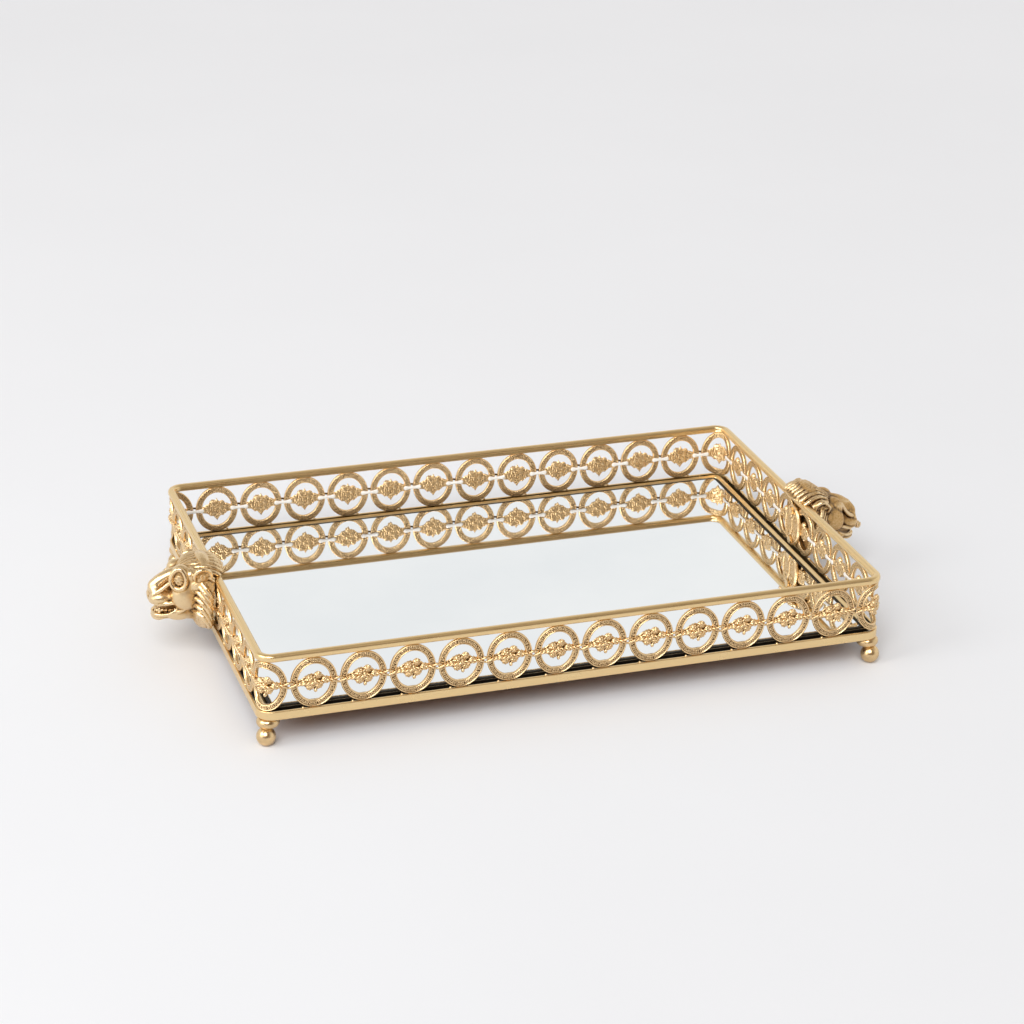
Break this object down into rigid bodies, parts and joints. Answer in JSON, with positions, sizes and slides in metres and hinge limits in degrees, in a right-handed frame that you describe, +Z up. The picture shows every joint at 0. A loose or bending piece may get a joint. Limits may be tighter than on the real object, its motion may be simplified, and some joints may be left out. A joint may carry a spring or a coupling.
{
  "type": "dresser vanity tray",
  "caption": "Mirror tray in a gilt metal frame, with an open gallery of oval medallions, a round top rail, ball feet and lion's head handles.",
  "frame": {"origin": "on the surface that the feet stand on, under the middle of the tray", "axes": "+X along the tray's long side, from the left handle to the right one; -Y is the front long side; +Z up"},
  "size_m": [0.5546, 0.3084, 0.0787],
  "materials": {
    "rail_gold": "satin, fine brushing along the bar, lacquered",
    "gilt_casting": "cast filigree, gilt, with brown patina in the recesses",
    "lion_gold": "cast, polished on the face and patinated in the mane",
    "foot_gold": "turned and polished, lacquered",
    "mirror": "silvered plate glass",
    "gasket": "matt black strip",
    "board": "hardboard, painted black",
    "blackened_steel": "sheet steel, black paint",
    "felt": "brown pressed felt",
    "screw_steel": "plated steel"
  },
  "bodies": {
    "root": {"top_rail": "rail_gold", "bottom_rail": "rail_gold", "underside_felt": "felt", "base_pan": "blackened_steel", "backing_board": "board", "mirror_lip": "rail_gold", "mirror_gasket": "gasket", "mirror_glass": "mirror", "gallery_front": "gilt_casting", "gallery_back": "gilt_casting", "gallery_left": "gilt_casting", "gallery_right": "gilt_casting", "corner_medallion_front_left": "gilt_casting", "corner_medallion_front_right": "gilt_casting", "corner_medallion_back_right": "gilt_casting", "corner_medallion_back_left": "gilt_casting", "foot_collar_front_left": "foot_gold", "foot_ball_front_left": "foot_gold", "foot_screw_front_left": "screw_steel", "foot_collar_front_right": "foot_gold", "foot_ball_front_right": "foot_gold", "foot_screw_front_right": "screw_steel", "foot_collar_back_right": "foot_gold", "foot_ball_back_right": "foot_gold", "foot_screw_back_right": "screw_steel", "foot_collar_back_left": "foot_gold", "foot_ball_back_left": "foot_gold", "foot_screw_back_left": "screw_steel", "lion_head_right": "lion_gold", "handle_plate_right": "gilt_casting", "handle_screw_right_upper": "screw_steel", "handle_screw_right_lower": "screw_steel", "lion_head_left": "lion_gold", "handle_plate_left": "gilt_casting", "handle_screw_left_upper": "screw_steel", "handle_screw_left_lower": "screw_steel", "lip_bead_right": "lion_gold"}
  },
  "joints": []
}
